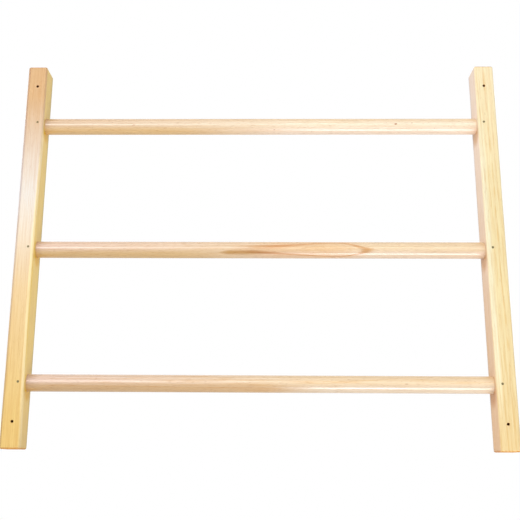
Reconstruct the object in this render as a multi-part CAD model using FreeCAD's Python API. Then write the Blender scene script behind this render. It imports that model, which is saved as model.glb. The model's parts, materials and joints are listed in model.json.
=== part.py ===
import FreeCAD
import Part
import os

# Wall bars: three round rungs between two upright posts that are screwed flat to a wall.
# Millimetres, +Z up, +X to the right as seen from the room, the wall behind at Y = 0.
# The origin is the centre of the four fixing holes, on the wall's surface.

# The whole ladder
overall_width = 1000.0
post_length = 804.0

# The posts are planed softwood with every edge rounded
post_width = 40.0
post_depth = 55.0
post_edge_radius = 4.0

# The rungs are round dowels, spaced evenly about the middle of the posts
rung_diameter = 34.0
rung_pitch = 273.5
rung_end_chamfer = 1.0

# Each rung stands full diameter in a blind socket, with room for glue
socket_depth = 26.0
socket_side_gap = 0.1
socket_end_gap = 1.0

# A nail goes in from the front across each rung's end and bites into the wood behind it
nail_shank_diameter = 3.0
nail_head_diameter = 4.8
nail_head_thickness = 1.0
nail_neck_length = 2.0
nail_point_length = 4.0
nail_bite = 5.5
nail_side_gap = 0.05

# The fixing holes go through each post from front to back
fixing_hole_diameter = 5.5
fixing_side_inset = 22.0
fixing_top_inset = 46.0
fixing_bottom_inset = 52.0

# Every cut runs on past the face that it starts or ends at
cut_overrun = 2.0

# Places that follow from the sizes
fixing_spacing_up = post_length - fixing_top_inset - fixing_bottom_inset
post_top = fixing_spacing_up / 2 + fixing_top_inset
post_bottom = post_top - post_length
post_middle = (post_top + post_bottom) / 2
post_front = -post_depth
outer_face = overall_width / 2
inner_face = outer_face - post_width
rung_depth = -post_depth / 2
rung_length = 2 * (inner_face + socket_depth - socket_end_gap)
nail_across = inner_face + (socket_depth - socket_end_gap) / 2
nail_length = (post_depth + rung_diameter) / 2 + nail_bite

right = FreeCAD.Vector(1, 0, 0)
wallward = FreeCAD.Vector(0, 1, 0)
sides = {"left": -1, "right": 1}
rung_heights = {
    "top": post_middle + rung_pitch,
    "middle": post_middle,
    "bottom": post_middle - rung_pitch,
}


def rung(height, side_gap=0, length=rung_length, chamfer=rung_end_chamfer):
    """A round bar along X at a rung's place, centred between the posts."""
    radius = rung_diameter / 2 + side_gap
    start = FreeCAD.Vector(-length / 2, rung_depth, height)
    bar = Part.makeCylinder(radius, length, start, right)
    if chamfer:
        ends = [edge for edge in bar.Edges if isinstance(edge.Curve, Part.Circle)]
        bar = bar.makeChamfer(chamfer, ends)
    return bar


def nail(side, height, gap=0, run_on=0):
    """A lost-head nail, its flat head flush with the post's front and its point towards the wall."""
    head = nail_head_diameter / 2 + gap
    shank = nail_shank_diameter / 2 + gap
    neck_start = nail_head_thickness
    neck_end = neck_start + nail_neck_length
    point_start = nail_length - nail_point_length
    half_section = [
        (0, -run_on),
        (head, -run_on),
        (head, neck_start),
        (shank, neck_end),
        (shank, point_start),
        (0, nail_length + gap),
    ]
    corners = [FreeCAD.Vector(radius, along, 0) for radius, along in half_section]
    outline = Part.Face(Part.makePolygon(corners + corners[:1]))
    solid = outline.revolve(FreeCAD.Vector(0, 0, 0), wallward)
    solid.translate(FreeCAD.Vector(side * nail_across, post_front, height))
    return solid


def fixing_hole(side, height):
    """The cutter of one plain hole from the front of a post to its back."""
    start = FreeCAD.Vector(side * (outer_face - fixing_side_inset), post_front - cut_overrun, height)
    return Part.makeCylinder(fixing_hole_diameter / 2, post_depth + 2 * cut_overrun, start, wallward)


def post(side):
    """One upright with its sockets, its fixing holes and the holes that its nails fill."""
    low_x = min(side * inner_face, side * outer_face)
    corner = FreeCAD.Vector(low_x, post_front, post_bottom)
    blank = Part.makeBox(post_width, post_depth, post_length, corner)
    blank = blank.makeFillet(post_edge_radius, blank.Edges)
    cutters = [
        fixing_hole(side, post_top - fixing_top_inset),
        fixing_hole(side, post_bottom + fixing_bottom_inset),
    ]
    for height in rung_heights.values():
        cutters.append(rung(height, socket_side_gap, 2 * (inner_face + socket_depth), 0))
        cutters.append(nail(side, height, nail_side_gap, cut_overrun))
    return blank.cut(cutters)


def drilled_rung(height):
    """One rung, with the two holes that its nails fill."""
    cutters = [nail(side, height, nail_side_gap, cut_overrun) for side in sides.values()]
    return rung(height).cut(cutters)


def build():
    """Every piece of the wall bars, by its name."""
    pieces = {}
    for side_name, side in sides.items():
        pieces[side_name + "_post"] = post(side)
    for rung_name, height in rung_heights.items():
        pieces[rung_name + "_rung"] = drilled_rung(height)
        for side_name, side in sides.items():
            pieces["pin_" + rung_name + "_" + side_name] = nail(side, height)
    return pieces


os.makedirs("parts", exist_ok=True)
for name, shape in build().items():
    solid = shape.Solids[0]
    solid.exportStep("parts/" + name + ".step")
    box = solid.BoundBox
    print(name, len(shape.Solids), "solid,", round(solid.Volume), "cubic mm, valid", solid.isValid())
    print("   from", round(box.XMin, 2), round(box.YMin, 2), round(box.ZMin, 2))
    print("   to  ", round(box.XMax, 2), round(box.YMax, 2), round(box.ZMax, 2))
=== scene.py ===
"""Low wall bars: three varnished dowel rungs pinned between two rounded softwood posts."""
import json
import math

import bmesh
import bpy
from bpy.props import FloatProperty, FloatVectorProperty
from mathutils import Matrix, Vector


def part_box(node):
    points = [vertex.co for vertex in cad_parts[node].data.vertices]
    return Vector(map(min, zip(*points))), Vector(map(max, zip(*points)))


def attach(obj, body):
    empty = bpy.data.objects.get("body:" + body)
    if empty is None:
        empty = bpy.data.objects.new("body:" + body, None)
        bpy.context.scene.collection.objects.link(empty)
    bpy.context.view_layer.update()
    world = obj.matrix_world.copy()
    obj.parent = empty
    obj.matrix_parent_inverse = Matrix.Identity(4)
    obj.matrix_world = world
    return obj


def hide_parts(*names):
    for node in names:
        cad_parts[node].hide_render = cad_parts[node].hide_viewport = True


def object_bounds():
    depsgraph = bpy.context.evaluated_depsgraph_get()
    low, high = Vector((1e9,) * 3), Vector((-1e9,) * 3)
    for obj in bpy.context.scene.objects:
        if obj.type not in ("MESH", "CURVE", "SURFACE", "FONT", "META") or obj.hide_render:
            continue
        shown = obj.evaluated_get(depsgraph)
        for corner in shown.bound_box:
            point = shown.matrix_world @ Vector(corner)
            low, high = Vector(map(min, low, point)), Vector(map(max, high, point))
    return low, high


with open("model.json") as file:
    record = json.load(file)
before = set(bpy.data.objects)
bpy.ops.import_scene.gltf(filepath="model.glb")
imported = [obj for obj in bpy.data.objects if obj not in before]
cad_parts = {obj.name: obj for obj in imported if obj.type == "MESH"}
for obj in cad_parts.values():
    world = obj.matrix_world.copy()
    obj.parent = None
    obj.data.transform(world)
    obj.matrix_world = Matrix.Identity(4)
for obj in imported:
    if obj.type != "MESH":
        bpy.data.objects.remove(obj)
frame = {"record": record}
cad_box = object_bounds()

bl_info = {
    "name": "Wall bars",
    "version": (1, 0, 0),
    "blender": (4, 5, 0),
    "location": "3D View > Sidebar > Wall Bars",
    "description": "Finishes the posts, rungs and nails of low wall bars, and sets their stage",
    "category": "Object",
}

MM = 0.001
SIDES = {"left": -1, "right": 1}
RUNGS = ("top", "middle", "bottom")

# Sockets of the Mix node when it mixes colours
MIX_A = 6
MIX_B = 7
MIX_OUT = 2

# The nails' own sizes behind their heads, and the gap round them in the wood, as the solids have them
HEAD_THICKNESS = 1 * MM
NECK_LENGTH = 2 * MM
POINT_LENGTH = 4 * MM
SHANK_RADIUS = 1.5 * MM
NAIL_GAP = 0.05 * MM

# Room for glue behind each rung's end
GLUE_ROOM = 1 * MM

# How finely each round form is cut
BAR_STEPS = 128
HOLE_STEPS = 48
NAIL_STEPS = 32
EDGE_STEPS = 8
MOUTH_STEPS = 3
FLOOR_STEPS = 96

# The floor is a disc of this radius, in metres
FLOOR_RADIUS = 8

# A cut runs on past the face that it opens, and a nail's cut by less
OVERRUN = 2 * MM
NAIL_OVERRUN = 1 * MM

# Points this close are one point, and a point this close to a hole's wall or a face lies on it
SAME_POINT = 0.001 * MM
DOUBLE_CORNER = 0.002 * MM
ON_WALL = 0.02 * MM
ON_FACE = 0.01 * MM

# Faces that meet at more than this keep a sharp edge between them
SHARP_ANGLE = math.radians(35)


def linear(hex_colour):
    """The linear colour, with alpha, of an sRGB hex value."""
    shares = [int(hex_colour[k:k + 2], 16) / 255 for k in (1, 3, 5)]
    return (*[s / 12.92 if s <= 0.04045 else ((s + 0.055) / 1.055) ** 2.4 for s in shares], 1.0)


# What all settings for a colour have in common, and all settings for a length
COLOUR = {"subtype": "COLOR", "size": 4, "min": 0, "max": 1}
LENGTH = {"subtype": "DISTANCE", "unit": "LENGTH"}


def span(node):
    """The lowest corner, the highest corner and the centre of a piece of the frame."""
    low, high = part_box(node)
    return low, high, (low + high) / 2


RUNG_LOW, RUNG_HIGH, RUNG_CENTRE = span("middle_rung")
RUNG_RADIUS = (RUNG_HIGH.z - RUNG_LOW.z) / 2
RUNG_HEIGHTS = {name: span(name + "_rung")[2].z for name in RUNGS}
FIXINGS = next(m for m in frame["record"]["mounts"] if m["name"] == "wall_fixings")
HOLE_RADIUS = FIXINGS["dims"]["hole_r_mm"] * MM
HOLE_ACROSS = FIXINGS["dims"]["spacing_x_mm"] * MM / 2
HOLE_UP = FIXINGS["dims"]["spacing_y_mm"] * MM / 2


# Sizes and colours that a user may change

class PostSettings(bpy.types.PropertyGroup):
    """The sizes and colours of the two posts, with a painted sheen on the left post and a painted highlight
    on the right post's edge.
    """

    edge_radius: FloatProperty(
        name="Edge radius", description="Radius that all edges of a post are rounded to",
        default=4 * MM, min=0.5 * MM, **LENGTH)
    mouth_ease: FloatProperty(
        name="Mouth ease", description="How far the mouths of the fixing holes are sanded back",
        default=0.4 * MM, min=0.05 * MM, **LENGTH)
    socket_gap: FloatProperty(
        name="Socket gap", description="Room for glue round a rung in its socket",
        default=0.1 * MM, min=0, **LENGTH)
    left_top: FloatVectorProperty(
        name="Left post, top", description="Tan wood at the top of the left post",
        default=linear("#DFB98B"), **COLOUR)
    # Painted sheen: the pale part of the left post stands in for the front light's reflection on its face
    left_pale: FloatVectorProperty(
        name="Left post, pale part", description="Paler, pinker wood above the middle of the left post",
        default=linear("#EAE5DF"), **COLOUR)
    left_middle: FloatVectorProperty(
        name="Left post, middle", description="Golden wood below the middle of the left post",
        default=linear("#F1D6A5"), **COLOUR)
    left_foot: FloatVectorProperty(
        name="Left post, foot", description="Golden wood at the foot of the left post",
        default=linear("#EECE84"), **COLOUR)
    left_sap: FloatVectorProperty(
        name="Left post, sapwood", description="Yellow sapwood along the left post's inner edge",
        default=linear("#F0D276"), **COLOUR)
    left_inner_foot: FloatVectorProperty(
        name="Left post, inner foot",
        description="Darker golden wood at the foot of the left post's inner face",
        default=linear("#DDBC6C"), **COLOUR)
    left_edge: FloatVectorProperty(
        name="Left post, edge", description="Pale yellow wood on the left post's rounded inner edge",
        default=linear("#FFEFC0"), **COLOUR)
    # Painted highlight: the right post's pale band on its rounded inner edge
    right_edge: FloatVectorProperty(
        name="Right post, edge", description="Cream wood on the right post's rounded inner edge",
        default=linear("#F7F3D6"), **COLOUR)
    right_top: FloatVectorProperty(
        name="Right post, top", description="Pale cream wood at the top of the right post",
        default=linear("#FFF2CC"), **COLOUR)
    right_middle: FloatVectorProperty(
        name="Right post, middle", description="Cream wood along the middle of the right post",
        default=linear("#F4E5B6"), **COLOUR)
    right_foot: FloatVectorProperty(
        name="Right post, foot", description="Golden wood at the foot of the right post",
        default=linear("#E3CE9C"), **COLOUR)
    inner_top: FloatVectorProperty(
        name="Right post, inner top", description="Pinkish wood at the top of the right post's inner face",
        default=linear("#F5E3D4"), **COLOUR)
    inner_foot: FloatVectorProperty(
        name="Right post, inner foot", description="Tan wood at the foot of the right post's inner face",
        default=linear("#E0B98E"), **COLOUR)


class RungSettings(bpy.types.PropertyGroup):
    """The sizes and colours of the three rungs, whose tints carry a painted highlight above and painted
    shade below.
    """

    end_chamfer: FloatProperty(
        name="End chamfer", description="Chamfer at each end of a rung, inside its socket",
        default=1 * MM, min=0, **LENGTH)


# Each rung's colour at the upper left, the upper right, the lower left and the lower right of its front
# Its upper tints are painted paler and pinker as a highlight, its lower tints more golden as shade
CORNERS = ("upper_left", "upper_right", "lower_left", "lower_right")
RUNG_TINTS = {
    "top": ("#E0C3A4", "#FFF0D7", "#E8C58D", "#FFECDA"),
    "middle": ("#E6C9B8", "#F4DCB6", "#DAB984", "#E8D2BC"),
    "bottom": ("#E6CBBD", "#F4DCB6", "#D0AE82", "#DCCCB8"),
}
for rung_name, rung_tints in RUNG_TINTS.items():
    for corner, tint in zip(CORNERS, rung_tints):
        level, end = corner.split("_")
        RungSettings.__annotations__[rung_name + "_" + corner] = FloatVectorProperty(
            name=f"{rung_name.capitalize()} rung, {level} {end}",
            description=f"Wood on the {level} side of the {rung_name} rung's {end} end",
            default=linear(tint), **COLOUR)


class NailSettings(bpy.types.PropertyGroup):
    """The look of the six nails."""

    dish: FloatProperty(
        name="Dish", description="Depth of the punch mark in a nail's head",
        default=0.2 * MM, min=0, **LENGTH)
    steel: FloatVectorProperty(
        name="Steel", description="Dull steel of the nails under the varnish",
        default=linear("#857852"), **COLOUR)


class StageSettings(bpy.types.PropertyGroup):
    """The camera, the lights and the floor."""

    camera_place: FloatVectorProperty(
        name="Camera place", description="Where the camera stands, in the object's frame",
        default=(0.0062, -1.7278, -0.4374), unit="LENGTH", subtype="TRANSLATION")
    camera_pitch: FloatProperty(
        name="Camera pitch", description="How far the camera looks up",
        default=math.radians(15.148), unit="ROTATION", subtype="ANGLE")
    camera_yaw: FloatProperty(
        name="Camera yaw", description="How far the camera looks to the right",
        default=math.radians(-1.115), unit="ROTATION", subtype="ANGLE")
    camera_roll: FloatProperty(
        name="Camera roll", description="How far the camera leans to its left",
        default=math.radians(0.389), unit="ROTATION", subtype="ANGLE")
    camera_lens: FloatProperty(
        name="Lens", description="Focal length in millimetres on a 36 mm sensor", default=58.83, min=10)
    camera_shift: FloatVectorProperty(
        name="Shift", description="Shift of the lens as shares of the image's width",
        size=2, default=(0.0262, -0.0423))
    floor_drop: FloatProperty(
        name="Floor drop", description="How far the floor lies below the posts", default=0.75, **LENGTH)
    ambient: FloatProperty(
        name="Ambient", description="Strength of the light that comes from all round", default=0.27, min=0)


# Nodes and meshes

def add(tree, kind, settings=(), links=()):
    """Adds one shader node, sets its properties and sockets, and links its sockets to their sources."""
    made = tree.nodes.new("ShaderNode" + kind)
    for key, value in dict(settings).items():
        if isinstance(key, str) and hasattr(made, key):
            setattr(made, key, value)
        else:
            made.inputs[key].default_value = value
    for key, source in dict(links).items():
        tree.links.new(source, made.inputs[key])
    return made


def new_material(name):
    """An empty node material, its tree and its output node."""
    material = bpy.data.materials.new(name)
    material.use_nodes = True
    tree = material.node_tree
    tree.nodes.clear()
    return material, tree, tree.nodes.new("ShaderNodeOutputMaterial")


def new_piece(name, shape, node, materials):
    """Makes a piece of a bmesh, which rides on the one body and replaces a piece of the frame."""
    mesh = bpy.data.meshes.new(name)
    shape.to_mesh(mesh)
    shape.free()
    for material in materials:
        mesh.materials.append(material)
    piece = bpy.data.objects.new(name, mesh)
    bpy.context.scene.collection.objects.link(piece)
    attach(piece, "root")
    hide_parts(node)
    return piece


def keep_flats_flat(piece):
    """Smooth shading that leaves the large flat faces flat and the sharp mouths sharp."""
    piece.data.shade_smooth()
    piece.data.set_sharp_from_angle(angle=SHARP_ANGLE)
    weighting = piece.modifiers.new("flat faces stay flat", "WEIGHTED_NORMAL")
    weighting.keep_sharp = True


def add_cylinder(shape, radius, start, end, segments):
    """Adds a closed cylinder between two points to a bmesh."""
    along = end - start
    place = Matrix.Translation((start + end) / 2) @ along.to_track_quat("Z", "Y").to_matrix().to_4x4()
    bmesh.ops.create_cone(
        shape, cap_ends=True, segments=segments, radius1=radius, radius2=radius, depth=along.length,
        matrix=place)


def add_turned(shape, profile, middle):
    """Adds a form turned about the Y axis, from steps of its radius and how deep each lies."""
    points = [shape.verts.new(middle + Vector((radius, deep, 0))) for radius, deep in profile]
    edges = [shape.edges.new(pair) for pair in zip(points, points[1:])]
    bmesh.ops.spin(
        shape, geom=points + edges, cent=middle, axis=(0, 1, 0), angle=math.tau, steps=NAIL_STEPS,
        use_merge=True)
    bmesh.ops.remove_doubles(shape, verts=shape.verts[:], dist=SAME_POINT)
    bmesh.ops.recalc_face_normals(shape, faces=shape.faces[:])


def nail_span(node):
    """The middle of a nail's head, the head's radius and the nail's length."""
    low, high, centre = span(node)
    return Vector((centre.x, low.y, centre.z)), (high.x - low.x) / 2, high.y - low.y


def add_nail_hole(shape, node):
    """Adds the form of the hole that a nail fills, a little wider all round and open to the front."""
    head, radius, length = nail_span(node)
    wide = radius + NAIL_GAP
    narrow = SHANK_RADIUS + NAIL_GAP
    add_turned(shape, [
        (0, -NAIL_OVERRUN), (wide, -NAIL_OVERRUN), (wide, HEAD_THICKNESS),
        (narrow, HEAD_THICKNESS + NECK_LENGTH), (narrow, length - POINT_LENGTH), (0, length + NAIL_GAP)],
        head)


def carve(piece, bits):
    """Cuts a bmesh of closed forms out of a piece, and keeps the result as the piece's own mesh."""
    mesh = bpy.data.meshes.new("bits")
    bits.to_mesh(mesh)
    bits.free()
    cutter = bpy.data.objects.new("bits", mesh)
    bpy.context.scene.collection.objects.link(cutter)
    cut = piece.modifiers.new("carve", "BOOLEAN")
    cut.operation = "DIFFERENCE"
    cut.solver = "EXACT"
    cut.object = cutter
    bpy.context.view_layer.update()
    carved = bpy.data.meshes.new_from_object(piece.evaluated_get(bpy.context.evaluated_depsgraph_get()))
    piece.modifiers.remove(cut)
    whole = piece.data
    piece.data = carved
    bpy.data.meshes.remove(whole)
    carved.name = piece.name
    bpy.data.objects.remove(cutter)
    bpy.data.meshes.remove(mesh)


# Materials

# How each stain, and the painted shade on the rungs' tops, changes the colour of the wood under it
LATE_WOOD = linear("#F0D6A6")
FIBRE = linear("#EFDDC6")
PORE = linear("#C79F78")
SPECK = linear("#BE8A66")
HEART = linear("#DCC28A")
RING_LINE = linear("#E3BE90")
END_GRAIN = linear("#EFCFA6")
# Painted shade on the top of each rung
TOP_SHADE = linear("#F6ECDD")
WARM = linear("#FDF0E0")

# Noise that is stretched along the stick: its stain, how far it is squeezed lengthwise, the size of
# a spot in millimetres, the noise's detail and roughness, and the values where it starts and is full
GRAIN = {
    # Real fibres are about 0.03 mm wide, too fine to show, so these are bundles of 1 mm
    "fibre": (FIBRE, 0.02, 1.6, 3.0, 0.6, 0.35, 0.7),
    # Pores are open ends of vessels or resin canals, 0.1 mm wide, drawn as dashes of 0.5 mm
    "pores": (PORE, 0.08, 0.9, 1.0, 0.5, 0.62, 0.74),
    # Specks are small pin knots and bark flecks, a few to a stick
    "specks": (SPECK, 0.35, 4.0, 1.5, 0.5, 0.72, 0.8),
}

# The waves that make the rings wander are this long across the stick, in millimetres
WANDER_WAVE = 16.0
# How many rings one wave of their widths spans, and how many rings it moves them by
WIDTH_WAVE = 3
WIDTH_SWING = 1.6
# The shares of a ring where its late wood starts and is darkest, and where it ends and starts to end
LATE_RISE = (0.2, 0.85)
LATE_END = (1.0, 0.86)
# The palest ring's late wood as a share of the darkest ring's
PALEST_RING = 0.25
# Patches of paler late wood: how far they are squeezed lengthwise, their size in millimetres, and
# the values of the noise where they end and where the late wood is full
PATCH_SQUEEZE = 0.12
PATCH_SIZE = 5.0
PATCH_EDGE = (0.4, 0.62)

# How squarely a face has to cut the fibres to count as end grain, and how dark its rings are
END_FACING = (0.15, 0.7)
END_RINGS = 0.9
# How far the late wood stands proud beside a bundle of fibres
LATE_RELIEF = 0.6

# The colours drift along this much of the stick to each side of its middle, in millimetres
DRIFT_REACH = 500.0
# How far the slow waves move a zone's border and the dark streak, in millimetres
BORDER_WANDER = 3.0
STREAK_WANDER = 5.0
# The dark outline is gone 1 mm from its middle, and the streak at its half width
LINE_EDGE = (1.0, 0.1)
STREAK_EDGE = (1.0, 0.15)
# The streak lies in the front of the rung, and is never quite without width
STREAK_FRONT = (-4.0, 6.0)
LEAST_WIDTH = 0.01
# The pale band on a post's edge is full over this share of its reach
BAND_CORE = 0.3
# The heart's tone ends where the inner face starts, in millimetres from the outer face
HEART_END = (38.5, 36.0)


def within(tree, amount, *limits):
    """An amount that soft limits fade out: each is a measure, where there is none and where it is full."""
    shown = None
    for measure, none, full in limits:
        share = add(
            tree, "MapRange",
            {"interpolation_type": "SMOOTHSTEP", "From Min": none, "From Max": full,
             "To Max": amount if shown is None else 1.0},
            {"Value": measure}).outputs[0]
        if shown is not None:
            share = add(tree, "Math", {"operation": "MULTIPLY"}, {0: shown, 1: share}).outputs[0]
        shown = share
    return shown


def bowed(tree, bow, along, ring_out, ring_up):
    """Curves the pith away from the surface on both sides of a peak, which draws the rings as ovals."""
    from_peak = add(tree, "Math", {"operation": "SUBTRACT", 1: bow["peak"]}, {0: along}).outputs[0]
    for limit, (amount, reach, slope) in (("MAXIMUM", bow["after"]), ("MINIMUM", bow["before"])):
        away = add(tree, "Math", {"operation": limit, 1: 0}, {0: from_peak}).outputs[0]
        square = add(tree, "Math", {"operation": "MULTIPLY"}, {0: away, 1: away}).outputs[0]
        spread = add(tree, "Math", {"operation": "ADD", 1: reach ** 2}, {0: square}).outputs[0]
        share = add(tree, "Math", {"operation": "DIVIDE"}, {0: square, 1: spread}).outputs[0]
        for factor, part in ((-amount, share), (slope, away)):
            ring_out = add(
                tree, "Math", {"operation": "MULTIPLY_ADD", 1: factor}, {0: part, 2: ring_out}).outputs[0]
    # The loop ends with the side before the peak, and there the pith sags as well
    cube = add(tree, "Math", {"operation": "MULTIPLY"}, {0: square, 1: away}).outputs[0]
    ring_up = add(
        tree, "Math", {"operation": "MULTIPLY_ADD", 1: -bow["sag"]}, {0: cube, 2: ring_up}).outputs[0]
    return ring_out, ring_up


def growth_rings(tree, cut, at, stick, slow):
    """How far a point lies from the pith, how late in its ring, and how dark the late wood is there."""
    ring_out, ring_up = [
        add(tree, "Math", {"operation": "ADD", 1: offset}, {0: at[axis]}).outputs[0]
        for axis, offset in zip(("out", "up"), cut["pith"])]
    if "bow" in cut:
        ring_out, ring_up = bowed(tree, cut["bow"], at["along"], ring_out, ring_up)
    across = add(tree, "CombineXYZ", {}, {"X": ring_out, "Y": ring_up}).outputs[0]
    radius = add(tree, "VectorMath", {"operation": "LENGTH"}, {0: across}).outputs["Value"]

    # Slow waves make every ring wander, and every ring's width differs
    radius = add(
        tree, "Math", {"operation": "MULTIPLY_ADD", 1: cut["wander"]}, {0: slow, 2: radius}).outputs[0]
    uneven = add(
        tree, "TexNoise",
        {"noise_dimensions": "1D", "Scale": 1 / (WIDTH_WAVE * cut["spacing"]), "Detail": 1.0},
        {"W": radius}).outputs["Fac"]
    turns = add(tree, "Math", {"operation": "DIVIDE", 1: cut["spacing"]}, {0: radius}).outputs[0]
    turns = add(
        tree, "Math", {"operation": "MULTIPLY_ADD", 1: WIDTH_SWING}, {0: uneven, 2: turns}).outputs[0]

    # Each ring darkens slowly from its pale early wood to its late wood, and ends at once
    phase = add(tree, "Math", {"operation": "FRACT"}, {0: turns}).outputs[0]
    ring = within(tree, 1.0, (phase, *LATE_RISE), (phase, *LATE_END))
    count = add(tree, "Math", {"operation": "FLOOR"}, {0: turns}).outputs[0]
    year = add(tree, "TexWhiteNoise", {"noise_dimensions": "1D"}, {"W": count}).outputs["Value"]
    year = add(
        tree, "MapRange", {"To Min": PALEST_RING * cut["late"], "To Max": cut["late"]},
        {"Value": year}).outputs[0]
    late = add(tree, "Math", {"operation": "MULTIPLY"}, {0: ring, 1: year}).outputs[0]
    patch = add(
        tree, "VectorMath", {"operation": "MULTIPLY", 1: (1, 1, PATCH_SQUEEZE)}, {0: stick}).outputs[0]
    patch = add(tree, "TexNoise", {"Scale": 1 / PATCH_SIZE, "Detail": 1.0}, {"Vector": patch}).outputs["Fac"]
    patch = add(
        tree, "MapRange",
        {"From Min": PATCH_EDGE[0], "From Max": PATCH_EDGE[1], "To Min": 1 - cut["patchy"]},
        {"Value": patch}).outputs[0]
    late = add(tree, "Math", {"operation": "MULTIPLY"}, {0: late, 1: patch}).outputs[0]
    return radius, ring, late


def ground_colour(tree, cut, tints, sides, at, slow):
    """The colour under the stains, which drifts along the stick and changes past the zone's border.

    It comes with how far past the wavering border a point lies, in millimetres and as a share.
    """
    share = add(
        tree, "MapRange", {"From Min": -DRIFT_REACH, "From Max": DRIFT_REACH},
        {"Value": at["along"]}).outputs[0]
    base = add(tree, "ValToRGB", {}, {0: share})
    stops = base.color_ramp.elements
    for stop, (spot, tint) in zip(stops, (tints[0], tints[-1])):
        stop.position = 0.5 + spot / (2 * DRIFT_REACH)
        stop.color = tint
    for spot, tint in tints[1:-1]:
        stops.new(0.5 + spot / (2 * DRIFT_REACH)).color = tint
    turned = within(tree, 1.0, (at["along"], *cut["turn"]))
    past = add(
        tree, "Mix", {"data_type": "RGBA", MIX_A: sides[0], MIX_B: sides[1]}, {0: turned}).outputs[MIX_OUT]
    border = add(
        tree, "Math", {"operation": "MULTIPLY_ADD", 1: BORDER_WANDER, 2: cut["border"]},
        {0: slow}).outputs[0]
    if "swing" in cut:
        # The border comes and goes along the stick in one long wave
        swing, period, crest = cut["swing"]
        wave = add(
            tree, "Math",
            {"operation": "MULTIPLY_ADD", 1: math.tau / period, 2: -math.tau * crest / period},
            {0: at["along"]}).outputs[0]
        wave = add(tree, "Math", {"operation": "COSINE"}, {0: wave}).outputs[0]
        border = add(tree, "Math", {"operation": "MULTIPLY_ADD", 1: -swing}, {0: wave, 2: border}).outputs[0]
    over = add(tree, "Math", {"operation": "SUBTRACT"}, {0: at["zone"], 1: border}).outputs[0]
    inside = within(tree, 1.0, (over, *cut["blend"]))
    colour = add(
        tree, "Mix", {"data_type": "RGBA"},
        {0: inside, MIX_A: base.outputs[0], MIX_B: past}).outputs[MIX_OUT]
    return colour, over, inside


def post_layers(tree, cut, edge_tint, at, over, inside):
    """What covers a post's wood, and what stains it or paints shade on it, each as a colour and how much of
    it shows.
    """
    # A pale band along the rounded inner edge, which fades out towards the ends: pale sapwood on the left
    # post, and a painted highlight on the right post
    middle, reach, amount, fades = cut["edge"]
    beside = add(tree, "Math", {"operation": "SUBTRACT", 1: middle}, {0: over}).outputs[0]
    beside = add(tree, "Math", {"operation": "ABSOLUTE"}, {0: beside}).outputs[0]
    edge = within(
        tree, amount, (beside, reach, BAND_CORE * reach), *[(at["along"], *fade) for fade in fades])

    # Deeper in the stick, but not under its inner face, the wood has one even tone
    across = add(
        tree, "Math", {"operation": "MULTIPLY_ADD", 1: -cut["zone"][1]},
        {0: at["up"], 2: at["zone"]}).outputs[0]
    shallow, deep, amount, heart_tint = cut["heart"]
    heart = within(tree, amount, (at["up"], shallow, deep), (across, *HEART_END))

    # Painted shade in the corner below each rung, where the rung meets the inner face
    drop, gone, full, shade_tint = cut["rung_shade"]
    pitch = (RUNG_HEIGHTS["top"] - RUNG_HEIGHTS["middle"]) / MM
    below = add(
        tree, "Math", {"operation": "SUBTRACT", 1: RUNG_CENTRE.z / MM - drop}, {0: at["along"]}).outputs[0]
    below = add(tree, "Math", {"operation": "WRAP", 1: pitch / 2, 2: -pitch / 2}, {0: below}).outputs[0]
    behind = add(
        tree, "Math", {"operation": "SUBTRACT", 1: (RUNG_CENTRE.y - cad_box[0].y) / MM},
        {0: at["up"]}).outputs[0]
    corner = add(tree, "CombineXYZ", {}, {"X": below, "Y": behind}).outputs[0]
    corner = add(tree, "VectorMath", {"operation": "LENGTH"}, {0: corner}).outputs["Value"]
    painted_shade = within(tree, 1.0, (corner, gone, full))
    painted_shade = add(tree, "Math", {"operation": "MULTIPLY"}, {0: painted_shade, 1: inside}).outputs[0]
    stains = [(shade_tint, painted_shade)]

    # Painted shade greys some of the rounded edges
    for across_limits, deep_limits, tint in cut["shaded_edges"]:
        stains.append((tint, within(tree, 1.0, (across, *across_limits), (at["up"], *deep_limits))))
    return [(edge_tint, edge), (heart_tint, heart)], stains


def figure_stains(tree, figure, at, radius, slow):
    """The stains of an oval figure: its dark outline, the streak on its lower left and its warm middle."""
    # One ring is darker than the rest, and starts to show part of the way along
    line_radius, amount, line_start = figure["line"]
    off_line = add(tree, "Math", {"operation": "SUBTRACT", 1: line_radius}, {0: radius}).outputs[0]
    off_line = add(tree, "Math", {"operation": "ABSOLUTE"}, {0: off_line}).outputs[0]
    line = within(tree, amount, (off_line, *LINE_EDGE), (at["along"], *line_start))

    # The streak of heartwood wanders, and tapers to both ends
    height, width, opens, closes = figure["streak"]
    taper = within(tree, 1.0, (at["along"], *opens), (at["along"], *closes))
    width = add(tree, "Math", {"operation": "MULTIPLY_ADD", 1: width, 2: LEAST_WIDTH}, {0: taper}).outputs[0]
    off_streak = add(
        tree, "Math", {"operation": "MULTIPLY_ADD", 1: STREAK_WANDER, 2: -height}, {0: slow}).outputs[0]
    off_streak = add(tree, "Math", {"operation": "ADD"}, {0: off_streak, 1: at["up"]}).outputs[0]
    off_streak = add(tree, "Math", {"operation": "ABSOLUTE"}, {0: off_streak}).outputs[0]
    off_streak = add(tree, "Math", {"operation": "DIVIDE"}, {0: off_streak, 1: width}).outputs[0]
    streak = within(tree, 1.0, (off_streak, *STREAK_EDGE), (at["out"], *STREAK_FRONT))
    streak = add(tree, "Math", {"operation": "MULTIPLY"}, {0: streak, 1: taper}).outputs[0]

    # The wood that the oval encloses is more orange
    warm = within(tree, 1.0, *[(at["along"], *limit) for limit in figure["warm"]])
    return [(RING_LINE, line), (HEART, streak), (WARM, warm)]


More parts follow.
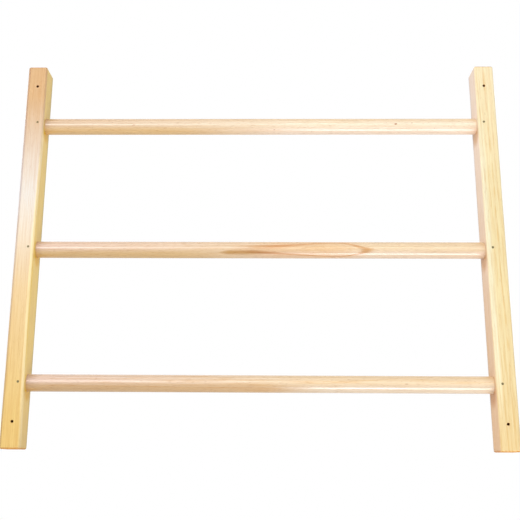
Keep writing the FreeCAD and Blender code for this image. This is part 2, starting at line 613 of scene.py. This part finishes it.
def wood(name, cut, tints, sides, edge_tint=None):
    """Varnished wood as a solid: growth rings round a pith, the fibres along them, its stains and its
    painted shade.

    The cut says how the stick was cut from its log, as the list above the cuts describes.
    Each tint has its place along the stick in millimetres. The sides are the low and the high colour
    of what lies past the zone's border. An edge tint is for a post, and a rung has none.
    """
    material, tree, output = new_material(name)
    texture = add(tree, "TexCoord")
    place = add(
        tree, "VectorMath", {"operation": "SUBTRACT", 1: cut["origin"]},
        {0: texture.outputs["Object"]}).outputs[0]
    at = {
        axis: add(
            tree, "VectorMath", {"operation": "DOT_PRODUCT", 1: Vector(cut[axis]) / MM},
            {0: place}).outputs["Value"]
        for axis in ("out", "up", "along", "zone")}
    stick = add(tree, "CombineXYZ", {}, {"X": at["out"], "Y": at["up"], "Z": at["along"]}).outputs[0]
    slow = add(tree, "VectorMath", {"operation": "MULTIPLY", 1: (1, 1, cut["calm"])}, {0: stick}).outputs[0]
    slow = add(
        tree, "TexNoise", {"Scale": 1 / WANDER_WAVE, "Detail": 2.0, "Roughness": 0.45},
        {"Vector": slow}).outputs["Fac"]
    slow = add(tree, "Math", {"operation": "SUBTRACT", 1: 0.5}, {0: slow}).outputs[0]
    radius, ring, late = growth_rings(tree, cut, at, stick, slow)

    # The end faces cut the fibres across: they soak up more varnish, and show every ring
    facing = add(
        tree, "VectorMath", {"operation": "DOT_PRODUCT", 1: cut["along"]},
        {0: texture.outputs["Normal"]}).outputs["Value"]
    facing = add(tree, "Math", {"operation": "ABSOLUTE"}, {0: facing}).outputs[0]
    ends = within(tree, 1.0, (facing, *END_FACING))
    end_rings = add(tree, "Math", {"operation": "MULTIPLY"}, {0: ring, 1: ends}).outputs[0]
    late = add(tree, "Math", {"operation": "MULTIPLY_ADD", 1: END_RINGS}, {0: end_rings, 2: late}).outputs[0]

    # The fibres, pores and specks run along the stick
    # Painted shade below the rungs, on some post edges and on the rungs' tops joins these stains further
    # down
    stains = [(LATE_WOOD, late), (END_GRAIN, ends)]
    noise = {}
    for kind, (stain, squeeze, size, detail, roughness, start, full) in GRAIN.items():
        stretched = add(
            tree, "VectorMath", {"operation": "MULTIPLY", 1: (1, 1, squeeze)}, {0: stick}).outputs[0]
        noise[kind] = add(
            tree, "TexNoise", {"Scale": 1 / size, "Detail": detail, "Roughness": roughness},
            {"Vector": stretched}).outputs["Fac"]
        share = add(
            tree, "MapRange", {"From Min": start, "From Max": full, "To Max": cut[kind]},
            {"Value": noise[kind]}).outputs[0]
        stains.append((stain, share))

    colour, over, inside = ground_colour(tree, cut, tints, sides, at, slow)
    covers = []
    if edge_tint:
        covers, post_stains_and_shade = post_layers(tree, cut, edge_tint, at, over, inside)
        stains += post_stains_and_shade
    if "top_shade" in cut:
        # Painted shade darkens and yellows the top of each rung
        low, high, amount = cut["top_shade"]
        stains.append((TOP_SHADE, within(tree, amount, (at["up"], low, high))))
    if "figure" in cut:
        stains += figure_stains(tree, cut["figure"], at, radius, slow)
    for blending, layers in (("MIX", covers), ("MULTIPLY", stains)):
        for tint, share in layers:
            colour = add(
                tree, "Mix", {"data_type": "RGBA", "blend_type": blending, MIX_B: tint},
                {0: share, MIX_A: colour}).outputs[MIX_OUT]

    # The varnish sinks into the late wood and the fibres, so they stand a little proud and duller
    relief = add(
        tree, "Math", {"operation": "MULTIPLY_ADD", 1: LATE_RELIEF}, {0: late, 2: noise["fibre"]}).outputs[0]
    bump = add(tree, "Bump", {"Strength": 0.35, "Distance": 0.06 * MM}, {"Height": relief}).outputs[0]
    dullness = add(
        tree, "MapRange",
        {"From Min": 0.3, "From Max": 0.7, "To Min": 0.58, "To Max": 0.72},
        {"Value": noise["fibre"]}).outputs[0]
    surface = add(
        tree, "BsdfPrincipled",
        {"Specular IOR Level": 0.12, "Coat Weight": cut["varnish"], "Coat Roughness": cut["satin"],
         "Coat IOR": cut["film"]},
        {"Base Color": colour, "Roughness": dullness, "Normal": bump, "Coat Normal": bump})
    tree.links.new(surface.outputs[0], output.inputs["Surface"])
    return material


def raw_bore():
    """Raw wood inside the fixing holes: the drill tore its fibres, so it is brown, rough and dull."""
    material, tree, output = new_material("Raw drilled pine")
    place = add(tree, "TexCoord").outputs["Object"]
    grit = add(tree, "TexNoise", {"Scale": 1 / (0.6 * MM), "Detail": 3.0}, {"Vector": place}).outputs["Fac"]
    colour = add(
        tree, "Mix", {"data_type": "RGBA", MIX_A: linear("#7A431C"), MIX_B: linear("#A5642F")},
        {0: grit}).outputs[MIX_OUT]
    bump = add(tree, "Bump", {"Distance": 0.1 * MM}, {"Height": grit}).outputs[0]
    surface = add(
        tree, "BsdfPrincipled", {"Roughness": 0.9, "Specular IOR Level": 0.2},
        {"Base Color": colour, "Normal": bump})
    tree.links.new(surface.outputs[0], output.inputs["Surface"])
    return material


def nail_steel(steel):
    """Bright steel wire struck to a head, dulled by handling and by a film of varnish."""
    material, tree, output = new_material("Dull lost-head nail steel")
    place = add(tree, "TexCoord").outputs["Object"]
    marks = add(tree, "TexNoise", {"Scale": 1 / (0.5 * MM), "Detail": 3.0}, {"Vector": place}).outputs["Fac"]
    colour = add(
        tree, "Mix",
        {"data_type": "RGBA", "blend_type": "MULTIPLY", MIX_A: steel, MIX_B: linear("#B9B0A0")},
        {0: marks}).outputs[MIX_OUT]
    rough = add(tree, "MapRange", {"To Min": 0.35, "To Max": 0.6}, {"Value": marks}).outputs[0]
    bump = add(tree, "Bump", {"Distance": 0.05 * MM}, {"Height": marks}).outputs[0]
    surface = add(
        tree, "BsdfPrincipled", {"Metallic": 0.5},
        {"Base Color": colour, "Roughness": rough, "Normal": bump})
    tree.links.new(surface.outputs[0], output.inputs["Surface"])
    return material


# How each stick was cut from its log, in millimetres along its own directions
#
# origin: the point that the measures start at, in metres
# out, up and along: the stick's directions, where a lean in the first two tilts the grain. On a post
#   they run inwards from its outer face, back from its front and up, and on a rung they run
#   forwards, up and to the right from its middle.
# zone: the direction that finds the part with the side colours
# pith: how far the middle of the rings lies from the origin, in out and in up
# calm: how far the slow waves are squeezed lengthwise
# wander: how far the slow waves move the rings
# spacing: the mean width of a ring
# late, patchy, fibre, pores and specks: how strongly each shows
# border and blend: where along zone the side colours start, and how softly
# swing: the size, length and crest of the border's long wave
# turn: where along the stick the side colours change from the low to the high one
# edge: the middle, reach and strength of the pale band past the border, and its ends' fades
# heart: the depths where the even tone starts and is full, its strength and its colour
# rung_shade: the painted shade's drop below a rung's middle, where it is gone and full, and its colour
# shaded_edges: the limits across and in depth of each rounded edge with painted shade, and its colour
# top_shade: the heights where the painted shade on a rung's top starts and is full, and its strength
# bow: the peak of the curved pith, its depth, reach and slope on both sides, and its sag
# figure: the oval's outline, streak and warm middle, each with where along the stick it shows
# varnish, satin and film: the weight, roughness and index of refraction of the clear coat

RIGHT_POST_CUT = {
    "origin": (cad_box[1].x, cad_box[0].y, 0), "out": (-1, 0, -0.02), "up": (0, 1, 0.004),
    "along": (0, 0, 1), "zone": (-1, 0.3, 0), "pith": (41, 60), "calm": 0.03, "wander": 7,
    "spacing": 5.5, "late": 0.6, "patchy": 0.9, "fibre": 0.7, "pores": 0.25, "specks": 0.15,
    "border": 38, "blend": (0.5, 3.5), "turn": (-500, 500),
    "edge": (-3.5, 8.5, 0.8, ((-400, -180), (340, 170))),
    "heart": (6, 30, 0.85, linear("#F2DAA6")),
    # Painted shade below each rung
    "rung_shade": (21, 32, 10, linear("#E2C8A6")),
    # Painted shade on the back inner edge
    "shaded_edges": (((36, 38), (43, 48), linear("#EEF2FF")),),
    "varnish": 0.4, "satin": 0.2, "film": 1.5,
}
LEFT_POST_CUT = RIGHT_POST_CUT | {
    "origin": (cad_box[0].x, cad_box[0].y, 0), "out": (1, 0, 0.004), "up": (0, 1, 0.002),
    "zone": (1, 0.3, 0), "pith": (70, 55), "wander": 5, "spacing": 3.1, "late": 0.3, "patchy": 0.6,
    "border": 36, "swing": (3, 860, -100), "turn": (-430, -200),
    "edge": (2.5, 4.8, 0.8, ((330, 180), (-520, -250))),
    "heart": (6, 30, 0.85, linear("#EED2A0")),
    # Painted shade below each rung
    "rung_shade": (19, 24, 8, linear("#F4E05C")),
    # Painted shade on the rounded outer front edge and on the back inner edge
    "shaded_edges": (
        ((5.5, 3.5), (8, 5), linear("#DED8DE")),
        ((36, 38), (43, 48), linear("#E4EEFF"))),
}
TOP_RUNG_CUT = {
    "out": (0.004, -1, -0.1), "up": (0.002, -0.1, 1), "along": (1, 0, 0), "zone": (0, 0, -1),
    "pith": (20, 46), "calm": 0.02, "wander": 4, "spacing": 1.8, "late": 0.4, "patchy": 0.6,
    "fibre": 0.6, "pores": 0.5, "specks": 1.0, "border": 7.5, "blend": (-6, 6), "turn": (-220, 110),
    "top_shade": (4, 10, 1.0), "varnish": 1.0, "satin": 0.23, "film": 1.7,
}
MIDDLE_RUNG_CUT = TOP_RUNG_CUT | {
    "out": (0, -0.987, -0.163), "up": (0, -0.163, 0.987), "pith": (25, 0), "spacing": 1.6,
    "late": 0.3, "specks": 0.2, "border": 5, "turn": (-200, 100), "top_shade": (7, 13, 0.3),
    "bow": {"peak": 156, "before": (3.5, 60, 0.004), "after": (7.2, 47.7, 0), "sag": 3.9e-7},
    "figure": {
        "line": (37.7, 0.9, (-80, 40)),
        "streak": (-5.8, 6.5, (-95, -60), (65, -20)),
        "warm": ((-35, 50), (225, 150)),
    },
}
BOTTOM_RUNG_CUT = TOP_RUNG_CUT | {
    "pith": (30, 30), "calm": 0.05, "wander": 13, "spacing": 3.4, "late": 0.55, "specks": 0.2,
    "border": 2.5, "turn": (0, 130), "top_shade": (8, 14, 0.2),
}


# One operator for each group of pieces

class WALLBARS_OT_posts(bpy.types.Operator):
    """Model the two posts with their rounded edges, sockets and holes, and finish them in varnished pine"""

    bl_idname = "wallbars.posts"
    bl_label = "Posts"

    def execute(self, context):
        look = context.scene.wallbars_posts
        # Planed pine under satin varnish: soft straight grain, darker where the ends soak it up
        pines = {
            "left": wood(
                "Left post, varnished pine", LEFT_POST_CUT,
                [(-350, look.left_foot), (-90, look.left_middle), (110, look.left_pale),
                 # The pale stop is a painted sheen
                 (330, look.left_top)],
                (look.left_inner_foot, look.left_sap), look.left_edge),
            "right": wood(
                "Right post, varnished pine", RIGHT_POST_CUT,
                [(-400, look.right_foot), (-90, look.right_middle), (160, look.right_middle),
                 (380, look.right_top)],
                (look.inner_foot, look.inner_top), look.right_edge),
        }
        bore = raw_bore()
        for side_name, side in SIDES.items():
            low, high, centre = span(side_name + "_post")
            shape = bmesh.new()
            bmesh.ops.create_cube(
                shape, size=1, matrix=Matrix.Translation(centre) @ Matrix.Diagonal((*(high - low), 1)))
            bmesh.ops.bevel(
                shape, geom=shape.edges[:], offset=look.edge_radius, offset_type="OFFSET",
                segments=EDGE_STEPS, profile=0.5, affect="EDGES", material=-1, clamp_overlap=True)
            piece = new_piece(
                "post_" + side_name, shape, side_name + "_post", [pines[side_name], bore])
            overrun = Vector((0, OVERRUN, 0))
            inner = side * min(abs(low.x), abs(high.x))
            bits = bmesh.new()
            for height in RUNG_HEIGHTS.values():
                mouth = Vector((inner - side * OVERRUN, RUNG_CENTRE.y, height))
                bottom = Vector((side * (RUNG_HIGH.x + GLUE_ROOM), RUNG_CENTRE.y, height))
                add_cylinder(bits, RUNG_RADIUS + look.socket_gap, mouth, bottom, BAR_STEPS)
            for height in (-HOLE_UP, HOLE_UP):
                front = Vector((side * HOLE_ACROSS, low.y, height))
                back = Vector((side * HOLE_ACROSS, high.y, height))
                add_cylinder(bits, HOLE_RADIUS, front - overrun, back + overrun, HOLE_STEPS)
            carve(piece, bits)
            bits = bmesh.new()
            for rung_name in RUNGS:
                add_nail_hole(bits, "pin_" + rung_name + "_" + side_name)
            carve(piece, bits)
            self.finish_holes(piece, side, low.y, high.y, look.mouth_ease)
            keep_flats_flat(piece)
        return {"FINISHED"}

    def finish_holes(self, piece, side, front, back, ease):
        """Leaves the walls of the fixing holes raw, and rounds their mouths over."""
        shape = bmesh.new()
        shape.from_mesh(piece.data)
        # The cuts leave two corners double where they meet, which would open the mesh
        bmesh.ops.remove_doubles(shape, verts=shape.verts[:], dist=DOUBLE_CORNER)

        def on_wall(part):
            return all(
                min(math.hypot(vert.co.x - side * HOLE_ACROSS, vert.co.z - z) for z in (-HOLE_UP, HOLE_UP))
                < HOLE_RADIUS + ON_WALL for vert in part.verts)

        for face in shape.faces:
            if on_wall(face):
                face.material_index = 1
        rims = [
            edge for edge in shape.edges
            if on_wall(edge)
            and any(all(abs(vert.co.y - level) < ON_FACE for vert in edge.verts) for level in (front, back))]
        bmesh.ops.bevel(
            shape, geom=rims, offset=ease, offset_type="OFFSET", segments=MOUTH_STEPS, profile=0.5,
            affect="EDGES", material=0)
        shape.to_mesh(piece.data)
        shape.free()


class WALLBARS_OT_rungs(bpy.types.Operator):
    """Model the three rungs as turned dowels, and finish them in varnished hardwood"""

    bl_idname = "wallbars.rungs"
    bl_label = "Rungs"

    def execute(self, context):
        look = context.scene.wallbars_rungs
        cuts = {"top": TOP_RUNG_CUT, "middle": MIDDLE_RUNG_CUT, "bottom": BOTTOM_RUNG_CUT}
        for name in RUNGS:
            low, high, centre = span(name + "_rung")
            shape = bmesh.new()
            start = Vector((low.x, centre.y, centre.z))
            end = Vector((high.x, centre.y, centre.z))
            add_cylinder(shape, RUNG_RADIUS, start, end, BAR_STEPS)
            # The edges that run round both ends
            rims = [edge for edge in shape.edges if len({round(vert.co.x, 6) for vert in edge.verts}) == 1]
            bmesh.ops.bevel(
                shape, geom=rims, offset=look.end_chamfer, offset_type="OFFSET", segments=1, profile=0.5,
                affect="EDGES", material=-1)
            upper_left, upper_right, *lower = [getattr(look, name + "_" + corner) for corner in CORNERS]
            # Sanded hardwood dowel under satin varnish: even tone with short fine pores, paler to the right,
            # and a painted highlight above and painted shade below
            dowel = wood(
                name.capitalize() + " rung, varnished dowel", cuts[name] | {"origin": centre},
                [(-480, upper_left), (120, upper_right)], lower)
            piece = new_piece("rung_" + name, shape, name + "_rung", [dowel])
            bits = bmesh.new()
            for side_name in SIDES:
                add_nail_hole(bits, "pin_" + name + "_" + side_name)
            carve(piece, bits)
            keep_flats_flat(piece)
        return {"FINISHED"}


class WALLBARS_OT_nails(bpy.types.Operator):
    """Model the six lost-head nails that pin the rungs, and finish them in dull steel"""

    bl_idname = "wallbars.nails"
    bl_label = "Nails"

    def execute(self, context):
        look = context.scene.wallbars_nails
        steel = nail_steel(look.steel)
        for side_name in SIDES:
            for rung_name in RUNGS:
                node = "pin_" + rung_name + "_" + side_name
                head, radius, length = nail_span(node)
                shape = bmesh.new()
                # The punch left a flat dish inside the head's rim, and the rim is a little rounded
                add_turned(shape, [
                    (0, look.dish), (0.62 * radius, look.dish), (0.85 * radius, 0.1 * look.dish),
                    (0.97 * radius, 0), (radius, 0.15 * MM), (radius, HEAD_THICKNESS),
                    (SHANK_RADIUS, HEAD_THICKNESS + NECK_LENGTH), (SHANK_RADIUS, length - POINT_LENGTH),
                    (0, length)], head)
                piece = new_piece("nail_" + rung_name + "_" + side_name, shape, node, [steel])
                keep_flats_flat(piece)
        return {"FINISHED"}


class WALLBARS_OT_stage(bpy.types.Operator):
    """Set the pale floor, the white surroundings, the soft lights and the camera"""

    bl_idname = "wallbars.stage"
    bl_label = "Stage"

    def execute(self, context):
        settings = context.scene.wallbars_stage
        self.set_floor(settings)
        self.set_world(context.scene, settings)
        self.set_lights()
        self.set_camera(context.scene, settings)
        context.scene.view_settings.view_transform = "Standard"
        return {"FINISHED"}

    def set_floor(self, settings):
        """A round pale floor that keeps the object's shadow, and looks white further out."""
        material, tree, output = new_material("Pale floor")
        place = add(tree, "TexCoord").outputs["Object"]
        away = add(tree, "VectorMath", {"operation": "LENGTH"}, {0: place}).outputs["Value"]
        path = add(tree, "LightPath").outputs["Is Camera Ray"]
        paint = add(tree, "BsdfPrincipled", {"Base Color": linear("#F4F3F1"), "Roughness": 0.8}).outputs[0]
        glow = add(tree, "Emission", {"Color": linear("#FFFFFF"), "Strength": 1.0}).outputs[0]
        # Under the object nearly half of the camera's view is plain white, and from 5 m out all of it
        clear = add(
            tree, "MapRange",
            {"interpolation_type": "SMOOTHSTEP", "From Min": 1.0, "From Max": 5.0, "To Min": 0.45},
            {"Value": away}).outputs[0]
        share = add(tree, "Math", {"operation": "MULTIPLY"}, {0: path, 1: clear}).outputs[0]
        seen = add(tree, "MixShader", {}, {0: share, 1: paint, 2: glow})
        tree.links.new(seen.outputs[0], output.inputs["Surface"])
        shape = bmesh.new()
        height = cad_box[0].z - settings.floor_drop
        bmesh.ops.create_circle(
            shape, cap_ends=True, segments=FLOOR_STEPS, radius=FLOOR_RADIUS,
            matrix=Matrix.Translation((0, 0, height)))
        mesh = bpy.data.meshes.new("floor")
        shape.to_mesh(mesh)
        shape.free()
        mesh.materials.append(material)
        floor = bpy.data.objects.new("floor", mesh)
        bpy.context.scene.collection.objects.link(floor)

    def set_world(self, scene, settings):
        """White to the camera and in reflections, and a softer even light on the object."""
        world = bpy.data.worlds.new("White surroundings")
        world.use_nodes = True
        tree = world.node_tree
        tree.nodes.clear()
        path = add(tree, "LightPath")
        seen = add(
            tree, "Math", {"operation": "MAXIMUM"},
            {0: path.outputs["Is Camera Ray"], 1: path.outputs["Is Glossy Ray"]})
        seen = add(
            tree, "Math", {"operation": "MAXIMUM"},
            {0: seen.outputs[0], 1: path.outputs["Is Transmission Ray"]})
        light = add(tree, "Background", {"Color": (1, 1, 1, 1), "Strength": settings.ambient})
        white = add(tree, "Background", {"Color": (1, 1, 1, 1), "Strength": 1.0})
        both = add(tree, "MixShader", {}, {0: seen.outputs[0], 1: light.outputs[0], 2: white.outputs[0]})
        output = add(tree, "OutputWorld", {}, {"Surface": both.outputs[0]})
        output.is_active_output = True
        scene.world = world

    def set_lights(self):
        """Softboxes in front, at both sides, behind and overhead, and a low strip on the right."""
        # Each has its name, its place, the point it faces, its width and height, and its power in watts
        softboxes = (
            ("front left softbox", (-1.45, -3.4, 1.12), (0, 0, 0.1), (1.7, 0.65), 25.5),
            ("front right softbox", (0.6, -3.4, 1.4), (0, 0, 0.1), (2.2, 0.3), 13.5),
            ("left side softbox", (-2.4, -1.5, 1.1), (0, 0, 0), (1.2, 1.6), 36),
            ("right side softbox", (2.4, -1.5, 1.1), (0, 0, 0), (1.2, 1.6), 16),
            ("back left softbox", (-2.2, 2.2, 0.8), (0, 0, 0), (1.0, 1.6), 26),
            ("back right softbox", (2.2, 2.2, 0.8), (0, 0, 0), (1.0, 1.6), 21),
            ("overhead softbox", (0, -0.9, 2.4), (0, 0, 0), (2.4, 0.8), 9),
            ("low right strip", (0.52, -0.52, -1.10), (0.52, -0.52, 0), (0.75, 0.30), 7),
        )
        for name, place, target, size, power in softboxes:
            light = bpy.data.lights.new(name, "AREA")
            light.shape = "RECTANGLE"
            light.size, light.size_y = size
            light.energy = power
            lamp = bpy.data.objects.new(name, light)
            bpy.context.scene.collection.objects.link(lamp)
            away = Vector(place) - Vector(target)
            lamp.matrix_world = Matrix.Translation(place) @ away.to_track_quat("Z", "Y").to_matrix().to_4x4()
            lamp.visible_camera = False

    def set_camera(self, scene, settings):
        """The camera, low in front of the object and looking up at it."""
        data = bpy.data.cameras.new("camera")
        data.sensor_width = 36
        data.lens = settings.camera_lens
        data.shift_x, data.shift_y = settings.camera_shift
        data.clip_end = 100
        camera = bpy.data.objects.new("camera", data)
        scene.collection.objects.link(camera)
        camera.matrix_world = (
            Matrix.Translation(settings.camera_place)
            @ Matrix.Rotation(-settings.camera_yaw, 4, "Z")
            @ Matrix.Rotation(math.radians(90) + settings.camera_pitch, 4, "X")
            @ Matrix.Rotation(settings.camera_roll, 4, "Z"))
        scene.camera = camera


class WALLBARS_PT_panel(bpy.types.Panel):
    """The sidebar panel that lists the pieces and the stage"""

    bl_idname = "WALLBARS_PT_panel"
    bl_label = "Wall bars"
    bl_space_type = "VIEW_3D"
    bl_region_type = "UI"
    bl_category = "Wall Bars"

    def draw(self, context):
        for group, operator in GROUPS.items():
            column = self.layout.column()
            column.operator(operator.bl_idname)
            settings = getattr(context.scene, "wallbars_" + group)
            for name in settings.__annotations__:
                column.prop(settings, name)


SETTINGS = {
    "posts": PostSettings,
    "rungs": RungSettings,
    "nails": NailSettings,
    "stage": StageSettings,
}
GROUPS = {
    "posts": WALLBARS_OT_posts,
    "rungs": WALLBARS_OT_rungs,
    "nails": WALLBARS_OT_nails,
    "stage": WALLBARS_OT_stage,
}
CLASSES = (*SETTINGS.values(), *GROUPS.values(), WALLBARS_PT_panel)


def register():
    """Registers the classes and hangs their settings on the scene."""
    for each in CLASSES:
        bpy.utils.register_class(each)
    for group, settings in SETTINGS.items():
        setattr(bpy.types.Scene, "wallbars_" + group, bpy.props.PointerProperty(type=settings))


def unregister():
    """Takes the settings and the classes away again."""
    for group in SETTINGS:
        delattr(bpy.types.Scene, "wallbars_" + group)
    for each in reversed(CLASSES):
        bpy.utils.unregister_class(each)


def main():
    """Builds the object and its stage."""
    register()
    bpy.ops.wallbars.posts()
    bpy.ops.wallbars.rungs()
    bpy.ops.wallbars.nails()
    bpy.ops.wallbars.stage()


if __name__ == "__main__":
    main()
